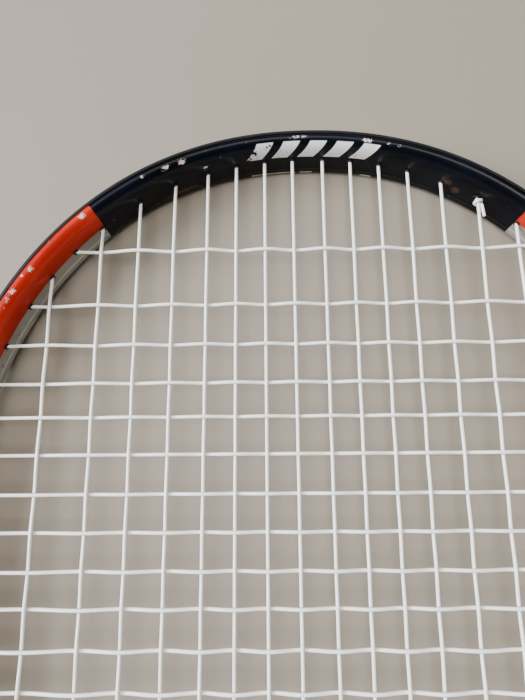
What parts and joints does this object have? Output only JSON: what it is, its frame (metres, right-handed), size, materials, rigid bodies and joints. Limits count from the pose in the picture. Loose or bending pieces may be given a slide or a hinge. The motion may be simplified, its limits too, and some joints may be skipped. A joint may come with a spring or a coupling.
{
  "type": "tennis racket",
  "caption": "Strung tennis racket: hollow aluminium hairpin frame with a throat bridge, grommet strips, woven main and cross strings, an octagonal handle and a sliding grip collar.",
  "frame": {"origin": "centre of the butt cap's flat end", "axes": "+Y along the handle to the tip of the head, +X across the string bed, +Z square to the string bed, out of its front"},
  "size_m": [0.2689, 0.685, 0.0342],
  "materials": {
    "frame_paint": "aluminium tube, sprayed orange-red in front, silver on the back half and gloss black round the tip and the throat",
    "bridge_black": "moulded nylon, painted gloss black with the frame",
    "nylon_black": "moulded nylon grommet strips and bumper guard, matt black",
    "string_white": "synthetic gut, cream white, slightly glossy",
    "spacer_foam": "moulded grey filler",
    "pallet_white": "moulded half shells, off-white",
    "steel": "zinc-plated screws and rivets",
    "grip_black": "perforated synthetic leather, black",
    "tape_red": "vinyl finishing tape",
    "rubber_black": "soft rubber collar",
    "cap_black": "moulded butt cap"
  },
  "bodies": {
    "racket": {"frame_tube": "frame_paint", "throat_bridge": "bridge_black", "bridge_rivet_left_back": "steel", "bridge_rivet_left_front": "steel", "bridge_rivet_right_back": "steel", "bridge_rivet_right_front": "steel", "bumper_guard": "nylon_black", "side_grommet_strip_right": "nylon_black", "side_grommet_strip_left": "nylon_black", "bridge_grommet_strip": "nylon_black", "main_string": "string_white", "cross_string": "string_white", "main_start_knot": "string_white", "main_end_knot": "string_white", "cross_start_knot": "string_white", "cross_end_knot": "string_white", "throat_spacer": "spacer_foam", "handle_pallet_front": "pallet_white", "handle_pallet_back": "pallet_white", "pallet_screw_lower": "steel", "pallet_screw_upper": "steel", "butt_cap": "cap_black", "butt_cap_screw_left": "steel", "butt_cap_screw_right": "steel", "grip_tape": "grip_black", "finishing_tape": "tape_red"},
    "collar": {"rubber_collar": "rubber_black"}
  },
  "joints": [
    {"name": "collar_slide", "type": "slide", "parent": "racket", "child": "collar", "axis": [0, 1, 0], "range_m": [0, 0.013]}
  ]
}
